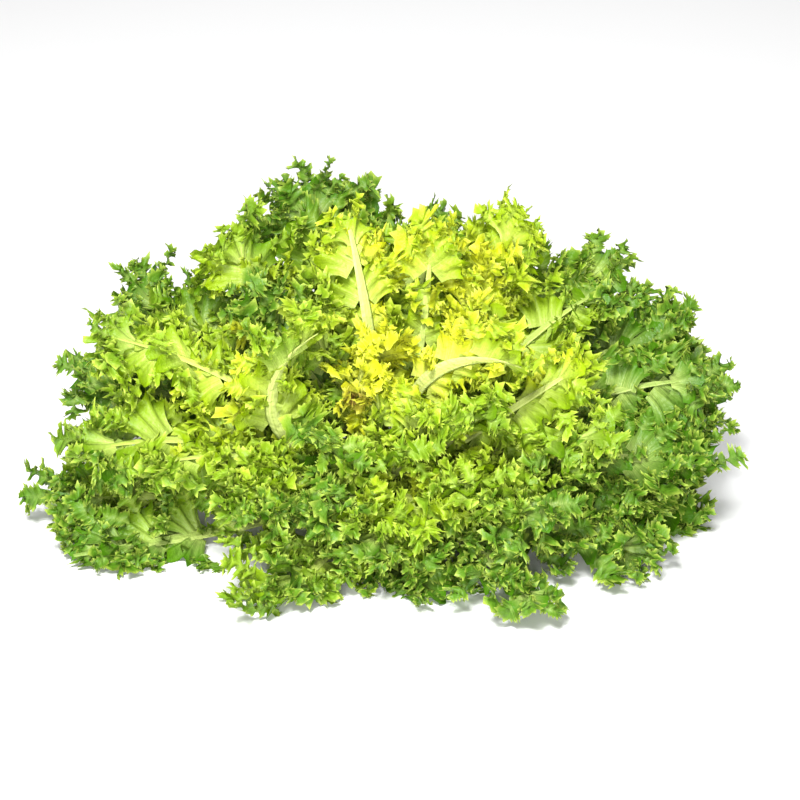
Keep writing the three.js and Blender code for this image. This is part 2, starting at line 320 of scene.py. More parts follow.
def spread(leaf, feature, most):
    """A repeatable number from -most to most for one feature of one leaf."""
    return (2 * chance(leaf, feature) - 1) * most


def mix(a, b, t):
    """The value that lies a share t of the way from a to b."""
    return a + (b - a) * t


def unit(vector):
    """The vector at a length of one."""
    return vector / np.linalg.norm(vector)


def outward(azimuth):
    """The direction away from the head's axis at an azimuth round it."""
    a = math.radians(azimuth)
    return ACROSS * math.cos(a) + BEHIND * math.sin(a)


def unevenness(azimuth):
    """How much longer than most the leaves towards an azimuth are."""
    total = 0.0
    for towards, within, share in UNEVEN:
        off = abs((azimuth - towards + 180) % 360 - 180)
        if off < within:
            total += share * math.cos(math.radians(off / within * 90)) ** 2
    return total


def kind_of(i):
    """Which of the three kinds leaf i is."""
    return "outer" if i < MIDDLE_FROM else "middle" if i < HEART_FROM else "heart"


def growth(i):
    """How leaf i of the spiral grows: 0 is the outermost and oldest."""
    inwards = i / (LEAF_COUNT - 1)
    heart = max(0.0, (inwards - 0.7) / 0.3)
    azimuth = i * GOLDEN_ANGLE + spread(i, 1, 7)
    front = max(0.0, -math.sin(math.radians(azimuth)))
    opening = mix(HEART_OPENING, OUTER_OPENING, (1 - inwards) ** 0.72) + spread(i, 2, 4)
    length = mix(OUTER_LENGTH, HEART_LENGTH, inwards**2) * (1 - 0.35 * heart**2)
    uneven = 1 + unevenness(azimuth) * (1 - 0.7 * heart)
    grown = dict(
        inwards=inwards,
        azimuth=azimuth,
        opening=opening * (1 - FRONT_CLOSED * front),
        bend=mix(8, 34 - 14 * front, inwards) + spread(i, 3, 8) - 62 * heart,
        droop=mix(0.55, 0.1, inwards) * (1 - 0.8 * front),
        sweep=spread(i, 5, mix(14, 40, heart)),
        twist=spread(i, 6, mix(16, 40, heart)),
        length=length * uneven * (1 + spread(i, 7, 0.06)),
        half_width=mix(OUTER_HALF_WIDTH, HEART_HALF_WIDTH, inwards) * (1 + spread(i, 8, 0.1)),
        rib_half_width=mix(4.2, 2.2, inwards),
        blade_from=mix(0.26, 0.12, inwards),
        pairs=6 if i < HEART_FROM else 5,
        lowest=FLOOR_GAP + min(i, MIDDLE_FROM) * LAYER,
    )
    grown.update(SHAPED.get(i, {}))
    return grown


def stump_radius(along):
    """The stump's radius at a distance along the head's axis: straight, then domed."""
    t = min(1.0, max(0.0, (along - ROOT_HEIGHT) / (STUMP_HEIGHT - ROOT_HEIGHT)))
    return mix(STUMP_RADIUS, STUMP_TOP_RADIUS, t**1.5)


def rib_line(g):
    """The rib's places, and its directions along it, across the leaf and out of its face."""
    along = mix(ROOT_HEIGHT, STUMP_HEIGHT - 2, g["inwards"] ** 1.1)
    root_half = RIB_THICKNESS / 2 * math.cos(math.radians(g["opening"]))
    place = AXIS * along + outward(g["azimuth"]) * (stump_radius(along) + root_half + LEAF_GAP)
    step = g["length"] / RIB_STEPS
    stations = []
    for k in range(RIB_STEPS + 1):
        u = k / RIB_STEPS
        polar = math.radians(g["opening"] + g["bend"] * u**1.4)
        azimuth = g["azimuth"] + g["sweep"] * u**1.5
        tangent = AXIS * math.cos(polar) + outward(azimuth) * math.sin(polar)
        tangent = unit(tangent - UP * g["droop"] * u**1.6)
        lowest = g["lowest"] + BLADE_THICKNESS + RIB_THICKNESS / 2 * (1 - u)
        if place[2] + tangent[2] * step < lowest:
            tangent[2] = max(tangent[2], (lowest - place[2]) / step)
            tangent = unit(tangent)
        side = outward(azimuth + 90)
        side = unit(side - tangent * side.dot(tangent))
        turn = np.array(Matrix.Rotation(math.radians(g["twist"] * u), 3, Vector(tangent)))
        side = turn @ side
        stations.append((place.copy(), tangent, side, np.cross(tangent, side)))
        place = place + tangent * step
    return [np.array(column) for column in zip(*stations)]


def lobe_reach(u):
    """How far the lobes reach at a place along the rib, as a share of the half-width."""
    widening = math.sin(math.radians(90) * min(1.0, u / 0.72)) ** 1.5
    return mix(0.3, 1, widening) * mix(1, 0.85, u**4)


class Sheet:
    """A flat sheet that a rib, a fan or a tongue is shaped from, often finer along its edge.

    across runs from 0 to 1 round the edge, and out from 0 at the base to 1 at the edge.
    """

    made = {}

    def __init__(self, columns, rows, fine_rows, finer):
        bm = bmesh.new()
        bmesh.ops.create_grid(bm, x_segments=columns, y_segments=rows, size=1)
        if finer > 1:
            from_row = 1 - 2 * fine_rows / rows - 0.01
            along = [
                edge
                for edge in bm.edges
                if min(vert.co.y for vert in edge.verts) > from_row
                and abs(edge.verts[0].co.y - edge.verts[1].co.y) < 0.01 / rows
            ]
            bmesh.ops.subdivide_edges(bm, edges=along, cuts=finer - 1)
            bmesh.ops.triangulate(bm, faces=[face for face in bm.faces if len(face.verts) > 4])
        self.mesh = bpy.data.meshes.new("sheet")
        bm.to_mesh(self.mesh)
        bm.free()
        flat = np.empty(len(self.mesh.vertices) * 3)
        self.mesh.vertices.foreach_get("co", flat)
        flat = (flat.reshape(-1, 3)[:, :2] + 1) / 2
        self.across = flat[:, 0]
        self.out = 1 - (1 - flat[:, 1]) ** ROW_EASING
        self.is_edge = flat[:, 1] > 0.999
        self.columns = columns * finer
        self.column = np.rint(self.across * self.columns).astype(int)

    @classmethod
    def of(cls, *counts):
        """The sheet with these counts, made once."""
        if counts not in cls.made:
            cls.made[counts] = cls(*counts)
        return cls.made[counts]


def eased(values, t):
    """Values at whole numbers of t, eased from each to the next."""
    k = np.clip(np.floor(t).astype(int), 0, len(values) - 2)
    ease = (1 - np.cos(math.pi * (t - k))) / 2
    return values[k] + (values[k + 1] - values[k]) * ease


def tongue(sheet, draws, length, half_width, sizes):
    """A toothed tongue with a frilled edge: how far its points lie ahead, out and up.

    The sheet's base is the tongue's midvein, and its edge runs up one side of the tongue,
    round its tip and down the other. The edge is far longer than the outline it has to lie
    on, so it buckles into folds that lean over one another. It is cut into uneven side-lobes,
    and all along into teeth. The tongue as a whole curls, bows to one side and twists.
    """
    across, out = sheet.across, sheet.out
    folds = max(4, round(2 * (length + half_width) / sizes.fold_width))
    steps = np.cumsum(np.append(0, draws.uniform(*FOLD_LENGTH, folds)))
    t = np.interp(across, steps / steps[-1], np.arange(folds + 1))
    by_turns = np.where(np.arange(folds + 2) % 2, 1, -1)
    fold = eased(draws.uniform(*FOLD_HEIGHT, folds + 2) * by_turns, t)
    lean = eased(draws.uniform(*FOLD_LEAN, folds + 2), t)
    reach = eased(draws.uniform(*FOLD_REACH, folds + 2), t)
    wander = eased(draws.uniform(*FOLD_WANDER, folds + 2), t) * out**2
    around = 2 * (across + wander * np.sin(math.tau * t) / (math.tau * folds)) - 1

    beside = np.abs(around)
    spine = np.clip((1 - beside) / (1 - TIP_SHARE), 0, 1)
    angle = np.sin(np.clip(beside / TIP_SHARE, 0, 1) * math.pi / 2)
    angle = np.sign(around) * math.radians(SIDE_ANGLE) * angle
    width = half_width * mix(0.45, 1, np.sin(np.clip(spine / 0.6, 0, 1) * math.pi / 2))

    corners = sheet.columns + 1
    teeth = draws.uniform(*TOOTH_REACH, corners) * (np.arange(corners) % 2)
    askew = draws.uniform(*TOOTH_ASKEW, corners)[sheet.column]
    tooth = teeth[sheet.column] * sheet.is_edge

    deep = sizes.fold_depth * out**1.6 * mix(0.6, 1, spine)
    away = width * reach * out + lean * deep * np.abs(fold)
    away = away + sizes.tooth_length * (tooth - 0.4 * sheet.is_edge)
    twist = draws.uniform(*TONGUE_TWIST) * spine
    sideways = away * np.sin(angle)
    rise = deep * fold + sizes.tooth_length * askew * tooth
    rise, sideways = rise + sideways * np.sin(twist), sideways * np.cos(twist)

    curl = draws.uniform(*TONGUE_CURL)
    share = (spine * (length - half_width) + away * np.cos(angle)) / length
    ahead = sideways + draws.uniform(*TONGUE_BOW) * length * share**2
    flat = length * np.sin(curl * share) / curl - rise * np.sin(curl * share)
    up = length * (1 - np.cos(curl * share)) / curl + rise * np.cos(curl * share)
    return ahead, flat, up, tooth, spine


class LeafMesh:
    """Gathers the sheets of one leaf, with what its material reads at each point."""

    def __init__(self, i, sizes):
        self.i = i
        self.name = f"{kind_of(i)}_leaf_{i + 1:02d}"
        self.sizes = sizes
        self.g = growth(i)
        self.places, self.tangents, self.sides, self.faces = rib_line(self.g)
        self.sheets = []
        self.points = []
        self.values = []
        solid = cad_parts[self.name].data
        self.solid = BVHTree.FromPolygons(
            [vert.co for vert in solid.vertices], [face.vertices for face in solid.polygons]
        )

    def at(self, u):
        """The rib's place and directions nearest a share of its length."""
        k = math.floor(u * RIB_STEPS + 0.5)
        return self.places[k], self.tangents[k], self.sides[k], self.faces[k]

    def fit(self, shape):
        """The first choice of length and tilt whose points come nearest to the leaf's solid."""

        def gap(choice):
            found = [self.solid.find_nearest(Vector(point * MM))[3] for point in shape(*choice)]
            return round(max(found) / MM)

        best = min(CHOICES, key=gap)
        return best if gap(best) < FIT_WITHIN else UNFITTED

    def store(self, sheet, points, pale, edge, vein, tone):
        """Keeps a sheet's points, inside the box, and what its material reads there."""
        points[:, 2] = TABLE_SOFT * np.logaddexp(0, (points[:, 2] - TABLE_CLEAR) / TABLE_SOFT)
        inner = np.clip(points, BOX_LOW + BOX_SOFT, BOX_HIGH - BOX_SOFT)
        inner[:, 2] = np.minimum(points[:, 2], BOX_HIGH[2] - BOX_SOFT)
        points[:] = inner + BOX_SOFT * np.tanh((points - inner) / BOX_SOFT)
        away = np.minimum(
            np.linalg.norm(points - HEART_CENTRE, axis=1),
            np.linalg.norm(points - LEFT_CENTRE, axis=1) + LEFT_FURTHER,
        )
        green = (away - YELLOW_WITHIN) / GREEN_OVER + tone
        burnt = np.linalg.norm(points - BURNT_CENTRE, axis=1) / BURNT_RADIUS
        burnt = np.exp(-(burnt**2))
        values = (pale, edge, green, vein, burnt)
        columns = [np.broadcast_to(value, len(points)) for value in values]
        self.sheets.append(sheet)
        self.points.append(points)
        self.values.append(np.array(columns))

    def tone(self, feature):
        """How much greener than its place gives a piece of this leaf is."""
        turned = math.radians(self.g["azimuth"])
        side = RIGHT_GREENER * math.cos(turned) + BACK_GREENER * math.sin(turned)
        leaf = ALL_GREENER + INNER_GREENER * self.g["inwards"]
        # This table adds painted shade to some leaves and painted light to some front leaves.
        leaf += spread(self.i, 10, LEAF_SPREAD) + GREENER_WITH_PAINTED_LIGHT.get(self.i, 0)
        return leaf + side + spread(self.i, feature, LOBE_SPREAD)

    def add_rib(self):
        """The rib: a tapered bar, flat above and round below."""
        g = self.g
        sheet = Sheet.of(*RIB_SHEET)
        share = 1 - (1 - sheet.out) ** (1 / ROW_EASING)
        k = np.rint(share * RIB_STEPS * BAR_SHARE).astype(int)
        angle = sheet.across * math.tau
        taper = (1, 1, 0.9, 0.4) if self.i in BARE else (1, 0.85, 0.6, 0.2)
        half = np.interp(share, (0, 0.2, 0.7, 1), taper) * g["rib_half_width"]
        thick = np.interp(share, (0, 0.9, 1), (RIB_THICKNESS / 2, 0.6, 0.3))
        rise = np.sin(angle) * thick
        rise = np.where(rise > 0, rise * 0.45, rise)
        groove = 1 + 0.1 * np.cos(6 * angle)
        points = (
            self.places[k]
            + self.sides[k] * (np.cos(angle) * half * groove)[:, None]
            + self.faces[k] * (rise + BAR_LIFT)[:, None]
        )
        pale = mix(0.75, 1, g["inwards"]) - (0.1 if self.i in BARE else 0.5) * share
        self.store(sheet, points, pale, 0, sheet.across * 10, self.tone(3) - 0.1)

    def add_tongue(self, draws, root, directions, length, half_width, pale, tone):
        """A frilled tongue that grows from its root in the three directions given."""
        pitch = self.sizes.point_spacing * TONGUE_ROWS[-1]
        columns = round(2 * (length + 0.4 * half_width) / pitch)
        sheet = Sheet.of(max(FEWEST_COLUMNS, columns), *TONGUE_ROWS)
        *shifts, tooth, spine = tongue(sheet, draws, length, half_width, self.sizes)
        points = root + sum(
            shift[:, None] * direction for shift, direction in zip(shifts, directions)
        )
        out = sheet.out
        # Outer rows and teeth that the material makes lighter and yellower: partly their own
        # colour and partly a painted highlight for the light that the thin, curled edges catch.
        edge = 0.3 * out**4 + 0.5 * (tooth > 0)
        greener = mix(0.2, -0.2, self.g["inwards"]) * out
        pale = pale * (1 - 0.7 * spine) * (1 - out) ** 1.5
        self.store(sheet, points, pale, edge, 40 * sheet.across, tone + greener)

    def add_patch(self, feature, length, angle, base, base_width, directions, palest, tone):
        """A smooth fan that grows out of the rib, with frilled tongues all round its rim."""
        draws = np.random.default_rng(int(self.i * 1000 + feature))
        ahead, level, up = directions
        core = length * self.sizes.smooth_share
        bend = draws.uniform(*FAN_BEND)
        phase = draws.uniform(0, math.tau)
        height = draws.uniform(*WAVE_HEIGHT)

        def place(across, out):
            turn = (across - 0.5) * angle * (0.4 + 0.6 * out**0.7)
            waved = math.tau * across * WAVES + phase
            along = core * out * (1 + 0.15 * np.cos(waved) * out)
            sideways = along * np.sin(turn) + (across - 0.5) * base_width * (1 - out)
            wave = height * np.sin(waved) * out**1.5 + bend * out**2
            shifts = (sideways, along * np.cos(turn), core * wave)
            return base + sum(
                np.expand_dims(shift, -1) * direction
                for shift, direction in zip(shifts, (ahead, level, up))
            )

        sheet = Sheet.of(*FAN_SHEET)
        pale = palest * (1 - sheet.out) ** 1.3
        vein = sheet.across * angle * 14 + feature
        self.store(sheet, place(sheet.across, sheet.out), pale, 0, vein, tone)

        half_width = self.sizes.tongue_half_width
        count = max(2, round(core * angle / (1.5 * half_width)))
        for k in range(count):
            across = (k + 0.5 + draws.uniform(-0.2, 0.2)) / count
            root = place(across, ROOTED_AT)
            out = unit(place(across, 1.0) - root)
            side = unit(place(across + 0.02, 0.8) - place(across - 0.02, 0.8))
            side = unit(side - out * side.dot(out))
            face = np.cross(side, out) * (1 if np.cross(side, out).dot(up) > 0 else -1)
            tilt = math.radians(draws.uniform(*TONGUE_TILT)) * (1 if k % 2 else -1)
            if self.i in BARE:
                tilt = -math.copysign(abs(tilt) + BARE_TILT, face.dot(FRONT))
            out, face = (
                out * math.cos(tilt) + face * math.sin(tilt),
                face * math.cos(tilt) - out * math.sin(tilt),
            )
            reach = (length - ROOTED_AT * core) * draws.uniform(*TONGUE_REACH)
            wide = half_width * draws.uniform(*TONGUE_WIDTH)
            shade = tone + draws.uniform(-0.06, 0.06)
            self.add_tongue(draws, root, (side, out, face), reach, wide, palest * 0.8, shade)

    def add_lobe(self, j, sign, u_from, u_to, length_share=1.0):
        """A frilled lobe on one side of the rib, between two shares of its length.

        A lobe of full length is fitted to the leaf's solid.
        """
        i, g = self.i, self.g
        feature = 20 + j * 8 + (sign + 1) * 40
        rear, front = self.at(u_from)[0], self.at(u_to)[0]
        u = (u_from + u_to) / 2
        tangent, side, face = self.at(u)[1:]
        width = np.linalg.norm(front - rear)
        base = (rear + front) / 2 + side * sign * g["rib_half_width"] * 0.35
        forward = math.radians(LOBE_FORWARD + 18 * u + spread(i, feature + 1, 8))
        ahead = tangent * math.cos(forward) - side * sign * math.sin(forward)
        level = side * sign * math.cos(forward) + tangent * math.sin(forward)
        full_length = g["half_width"] * lobe_reach(u) * (1 + spread(i, feature, 0.15))
        full_tilt = (-1 if j % 2 else 1) * mix(*LOBE_TILT, chance(i, feature + 2))

        def out_at(steeper):
            tilt = math.radians(full_tilt * steeper)
            return level * math.cos(tilt) + face * math.sin(tilt)

        def teeth(longer, steeper):
            out = out_at(steeper) * full_length * longer
            lifted = base + face * full_length * longer * 0.15
            return (lifted + out + ahead * 0.5 * width, lifted + out * 0.82 - ahead * 0.5 * width)

        longer, steeper = self.fit(teeth) if length_share == 1 else (1, 1)
        if i in BARE:
            steeper = -abs(steeper) * np.sign(full_tilt * face.dot(FRONT))
        out = out_at(steeper)
        up = np.cross(ahead, out)
        up = up * (1 if up.dot(face) > 0 else -1)
        angle = math.radians(mix(*LOBE_ANGLE, chance(i, feature + 3)))
        length = full_length * longer * length_share
        palest = mix(0.45, 0.62, g["inwards"]) * (1 - 0.4 * u)
        tone = self.tone(feature + 4)
        self.add_patch(feature, length, angle, base, width, (ahead, out, up), palest, tone)

    def add_fan(self):
        """The frilled fan at the leaf's tip."""
        i, g = self.i, self.g
        place, tangent, side, face = self.at(TIP_FROM)
        full_length = g["half_width"] * 0.92

        def out_at(steeper):
            tilt = math.radians(spread(i, 9, 8) + 18 * (steeper - 1))
            return tangent * math.cos(tilt) + face * math.sin(tilt)

        def teeth(longer, steeper):
            return [place + out_at(steeper) * full_length * longer * 0.95]

        longer, steeper = self.fit(teeth)
        out = out_at(steeper)
        up = np.cross(side, out)
        up = up * (1 if up.dot(face) > 0 else -1)
        length = full_length * longer * FAN_LONGER
        width = g["rib_half_width"] * 2
        angle = math.radians(FAN_ANGLE)
        tone = self.tone(FAN_FEATURE + 4)
        self.add_patch(FAN_FEATURE, length, angle, place, width, (side, out, up), 0.5, tone)

    def finish(self, material):
        """Makes the leaf's object from its sheets, and lets it stand for its solid."""
        bm = bmesh.new()
        for sheet in self.sheets:
            bm.from_mesh(sheet.mesh)
        for face in bm.faces:
            face.smooth = True
        mesh = bpy.data.meshes.new(self.name + "_fine")
        bm.to_mesh(mesh)
        bm.free()
        mesh.vertices.foreach_set("co", (np.concatenate(self.points) * MM).ravel())
        values = np.concatenate(self.values, axis=1)
        for name, column in zip(("pale", "edge", "green", "vein", "burnt"), values):
            mesh.attributes.new(name, "FLOAT", "POINT").data.foreach_set("value", column)
        mesh.update()
        mesh.materials.append(material)
        leaf = bpy.data.objects.new(self.name + "_fine", mesh)
        bpy.context.scene.collection.objects.link(leaf)
        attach(leaf, "root")
        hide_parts(self.name)


def make_leaf(i, sizes, material):
    """Makes leaf i: its rib, its lobes in pairs, small ones on its stalk, and its fan."""
    leaf = LeafMesh(i, sizes)
    g = leaf.g
    leaf.add_rib()
    shares = [mix(g["blade_from"], TIP_FROM, j / g["pairs"]) for j in range(g["pairs"] + 1)]
    for j in range(g["pairs"]):
        for sign in (1, -1):
            leaf.add_lobe(j, sign, shares[j], shares[j + 1])
    stalk = g["blade_from"]
    for sign in (1, -1):
        leaf.add_lobe(STALK_LOBE, sign, STALK_FROM * stalk, STALK_TO * stalk, STALK_LENGTH)
    leaf.add_fan()
    leaf.finish(material)


def shown(hex_colour):
    """The red, green and blue of a colour given in sRGB hex, from 0 to 1."""
    return [int(hex_colour[k : k + 2], 16) / 255 for k in (1, 3, 5)]


def linear(hex_colour):
    """A colour given in sRGB hex, as linear red, green, blue and alpha."""
    parts = shown(hex_colour)
    return [c / 12.92 if c <= 0.04045 else ((c + 0.055) / 1.055) ** 2.4 for c in parts] + [1.0]


def add_node(tree, kind, settings=None, inputs=None):
    """Adds a node with its settings, and with its inputs set to values or linked to sockets."""
    node = tree.nodes.new(kind)
    for name, value in (settings or {}).items():
        setattr(node, name, value)
    for name, value in (inputs or {}).items():
        if isinstance(value, bpy.types.NodeSocket):
            tree.links.new(value, node.inputs[name])
        else:
            node.inputs[name].default_value = value
    return node


def hex_property(name, description, default):
    """A colour that a user may change, kept as it is shown on screen."""
    return bpy.props.FloatVectorProperty(
        name=name,
        description=description,
        default=shown(default),
        size=3,
        min=0,
        max=1,
        subtype="COLOR_GAMMA",
    )


def as_linear(colour):
    """A shown colour as linear red, green, blue and alpha."""
    return linear("#" + "".join(f"{round(c * 255):02x}" for c in colour))


def leaf_tissue(colours):
    """Crisp leaf tissue, grown thin and moist: light shines through it and glints off it.

    It gives the eye pale ribs that fan out as veins, and a blade that goes from yellow in the
    heart to green outside, with lighter, yellower teeth along its edge: partly their own colour
    and partly a painted highlight for the light that the thin, curled edges catch.
    """
    material = bpy.data.materials.get("crisp leaf tissue")
    if material:
        return material
    material = bpy.data.materials.new("crisp leaf tissue")
    material.use_nodes = True
    tree = material.node_tree
    tree.nodes.clear()

    def attribute(name):
        return add_node(tree, "ShaderNodeAttribute", {"attribute_name": name}).outputs["Fac"]

    place = add_node(tree, "ShaderNodeTexCoord").outputs["Object"]
    # Patches about 17 mm wide, in which the blade is a little yellower or greener.
    patches = add_node(
        tree, "ShaderNodeTexNoise", None, {"Vector": place, "Scale": 60.0, "Detail": 2.0}
    ).outputs["Fac"]
    shift = add_node(
        tree, "ShaderNodeMath", {"operation": "MULTIPLY_ADD"}, {0: patches, 1: 0.5, 2: -0.25}
    ).outputs[0]
    green = add_node(
        tree, "ShaderNodeMath", {"operation": "ADD"}, {0: attribute("green"), 1: shift}
    ).outputs[0]
    ramp = add_node(tree, "ShaderNodeValToRGB", None, {"Fac": green})
    stops = (
        (0.0, colours.heart_yellow),
        (0.3, colours.lime),
        (0.62, colours.leaf_green),
        (1.0, colours.deep_green),
    )
    elements = ramp.color_ramp.elements
    while len(elements) < len(stops):
        elements.new(0.5)
    for element, (position, colour) in zip(elements, stops):
        element.position = position
        element.color = as_linear(colour)
    # Veins a millimetre or two apart, which fade towards the edge with the pale base.
    streaks = add_node(
        tree,
        "ShaderNodeTexNoise",
        {"noise_dimensions": "1D"},
        {"W": attribute("vein"), "Scale": 1.1, "Detail": 3.0},
    ).outputs["Fac"]
    streaked = add_node(
        tree,
        "ShaderNodeMapRange",
        None,
        {"Value": streaks, "From Min": 0.35, "From Max": 0.65, "To Min": 0.6, "To Max": 1.25},
    ).outputs[0]
    pale = add_node(
        tree,
        "ShaderNodeMath",
        {"operation": "MULTIPLY", "use_clamp": True},
        {0: attribute("pale"), 1: streaked},
    ).outputs[0]
    veined = add_node(
        tree,
        "ShaderNodeMix",
        {"data_type": "RGBA"},
        {0: pale, 6: ramp.outputs["Color"], 7: as_linear(colours.rib_cream)},
    ).outputs[2]
    # The edge goes towards a lighter lime: partly the teeth's own colour and partly a painted
    # highlight on the thin, curled edges.
    edge = add_node(
        tree, "ShaderNodeMath", {"operation": "MULTIPLY"}, {0: attribute("edge"), 1: 0.65}
    ).outputs[0]
    edged = add_node(
        tree,
        "ShaderNodeMix",
        {"data_type": "RGBA"},
        {0: edge, 6: veined, 7: as_linear(colours.edge_lime_and_highlight)},
    ).outputs[2]
    browned = add_node(
        tree,
        "ShaderNodeMix",
        {"data_type": "RGBA"},
        {0: attribute("burnt"), 6: edged, 7: as_linear(colours.cut_brown)},
    ).outputs[2]
    # Blisters about 2.4 mm wide between the finest veins.
    blisters = add_node(
        tree, "ShaderNodeTexNoise", None, {"Vector": place, "Scale": 420.0, "Detail": 3.0}
    ).outputs["Fac"]
    bump = add_node(
        tree, "ShaderNodeBump", None, {"Height": blisters, "Strength": 0.6, "Distance": 0.0015}
    ).outputs[0]
    surface = add_node(
        tree,
        "ShaderNodeBsdfPrincipled",
        None,
        {
            "Base Color": browned,
            "Roughness": 0.38,
            "IOR": 1.4,
            "Specular IOR Level": 0.3,
            "Normal": bump,
        },
    )
    through = add_node(
        tree, "ShaderNodeBsdfTranslucent", None, {"Color": browned, "Normal": bump}
    )
    leaf = add_node(
        tree,
        "ShaderNodeMixShader",
        None,
        {0: 0.12, 1: surface.outputs[0], 2: through.outputs[0]},
    )
    add_node(tree, "ShaderNodeOutputMaterial", None, {"Surface": leaf.outputs[0]})
    return material


def stump_tissue(colours):
    """Cut stem: matt, fibrous and cream, browned where the knife cut it and air dried it."""
    material = bpy.data.materials.new("cut stem")
    material.use_nodes = True
    tree = material.node_tree
    tree.nodes.clear()
    place = add_node(tree, "ShaderNodeTexCoord").outputs["Object"]
    # Fibres are finer than this, and are drawn 2 mm wide so that they show.
    fibres = add_node(
        tree, "ShaderNodeTexNoise", None, {"Vector": place, "Scale": 500.0, "Detail": 4.0}
    ).outputs["Fac"]
    # The lowest 4 mm are browned, most of all the cut face.
    low = add_node(tree, "ShaderNodeSeparateXYZ", None, {0: place}).outputs["Z"]
    brown = add_node(
        tree,
        "ShaderNodeMapRange",
        None,
        {"Value": low, "From Min": 0.0, "From Max": 0.004, "To Min": 0.6, "To Max": 0.0},
    ).outputs[0]
    browned = add_node(
        tree, "ShaderNodeMath", {"operation": "MULTIPLY"}, {0: brown, 1: fibres}
    ).outputs[0]
    colour = add_node(
        tree,
        "ShaderNodeMix",
        {"data_type": "RGBA"},
        {0: browned, 6: as_linear(colours.rib_cream), 7: as_linear(colours.cut_brown)},
    ).outputs[2]
    bump = add_node(
        tree, "ShaderNodeBump", None, {"Height": fibres, "Strength": 0.5, "Distance": 0.0006}
    ).outputs[0]
    surface = add_node(
        tree,
        "ShaderNodeBsdfPrincipled",
        None,
        {"Base Color": colour, "Roughness": 0.6, "Normal": bump},
    )
    add_node(tree, "ShaderNodeOutputMaterial", None, {"Surface": surface.outputs[0]})
    return material


def white_paper():
    """Matt white paper: it throws light back evenly, and the head's shadow lies soft on it."""
    material = bpy.data.materials.new("white paper")
    material.use_nodes = True
    paper = material.node_tree.nodes["Principled BSDF"]
    paper.inputs["Base Color"].default_value = (PAPER_REFLECTS, PAPER_REFLECTS, PAPER_REFLECTS, 1)
    paper.inputs["Roughness"].default_value = 0.8
    return material


class EndiveSizes(bpy.types.PropertyGroup):
    """Sizes of the frills."""

    smooth_share: bpy.props.FloatProperty(
        name="Smooth share",
        description="How far the smooth part of a lobe reaches, as a share of the lobe's length",
        default=0.63,
        min=0.1,
        max=0.9,
        subtype="FACTOR",
    )
    tongue_half_width: bpy.props.FloatProperty(
        name="Tongue half-width",
        description="Half the width of the tongues round a lobe's rim, in mm",
        default=4.2,
        min=1,
        max=20,
    )
    fold_width: bpy.props.FloatProperty(
        name="Fold width",
        description="Width of one fold of a tongue's edge, in mm",
        default=3.0,
        min=1,
        max=20,
    )
    fold_depth: bpy.props.FloatProperty(
        name="Fold depth",
        description="Height of the folds of a tongue's edge, in mm",
        default=3.3,
        min=0,
        max=10,
    )
    tooth_length: bpy.props.FloatProperty(
        name="Tooth length",
        description="Length of the teeth along a tongue's edge, in mm",
        default=1.8,
        min=0,
        max=12,
    )
    point_spacing: bpy.props.FloatProperty(
        name="Point spacing",
        description="Distance between points along a tongue's edge before it buckles, in mm",
        default=0.5,
        min=0.3,
        max=5,
    )


class EndiveColours(bpy.types.PropertyGroup):
    """Colours of the leaves and the stump."""

    heart_yellow: hex_property("Heart yellow", "Blade in the heart", "#c6ca1c")
    lime: hex_property("Lime", "Blade round the heart", "#94ae0a")
    leaf_green: hex_property("Leaf green", "Blade of the middle leaves", "#7c9e0a")
    deep_green: hex_property("Deep green", "Blade of the outermost leaves", "#427206")
    rib_cream: hex_property("Rib cream", "Ribs, veins and stump", "#dce88a")
    # Partly the teeth's own colour and partly a painted highlight on the thin, curled edges.
    edge_lime_and_highlight: hex_property("Edge lime", "Teeth along the edges", "#dce86a")
    cut_brown: hex_property("Cut brown", "Dried face of the cut stump", "#8a6a3c")


class EndiveStage(bpy.types.PropertyGroup):
    """Where the camera stands, and the light."""

    camera_height: bpy.props.FloatProperty(
        name="Camera height",
        description="Angle of the camera above the table",
        default=math.radians(22),
        min=0,
        max=math.radians(90),
        subtype="ANGLE",
    )
    camera_distance: bpy.props.FloatProperty(
        name="Camera distance",
        description="Distance of the camera from the head's middle",
        default=1.2,
        min=0.3,
        max=5,
        unit="LENGTH",
    )
    light: bpy.props.FloatProperty(
        name="Light",
        description="Strength of the soft light all round",
        default=0.2,
        min=0,
        max=5,
    )


class LeafOperator:
    """What the operators for the three kinds of leaf share."""

    bl_options = {"REGISTER", "UNDO"}
    numbers = range(0)
    slot = ""

    def execute(self, context):
        scene = context.scene
        material = leaf_tissue(scene.endive_colours)
        for i in self.numbers:
            make_leaf(i, scene.endive_sizes, material)
        return {"FINISHED"}


class ENDIVE_OT_outer_leaves(LeafOperator, bpy.types.Operator):
    """Add the long green leaves that spread over the table"""

    bl_idname = "endive.outer_leaves"
    bl_label = "Outer Leaves"
    numbers = range(MIDDLE_FROM)
    slot = "green outer leaf"


class ENDIVE_OT_middle_leaves(LeafOperator, bpy.types.Operator):
    """Add the light green leaves between the outer ones and the heart"""

    bl_idname = "endive.middle_leaves"
    bl_label = "Middle Leaves"
    numbers = range(MIDDLE_FROM, HEART_FROM)
    slot = "light green middle leaf"


class ENDIVE_OT_heart_leaves(LeafOperator, bpy.types.Operator):
    """Add the small yellow leaves that curl over the middle"""

    bl_idname = "endive.heart_leaves"
    bl_label = "Heart Leaves"
    numbers = range(HEART_FROM, LEAF_COUNT)
    slot = "yellow heart leaf"


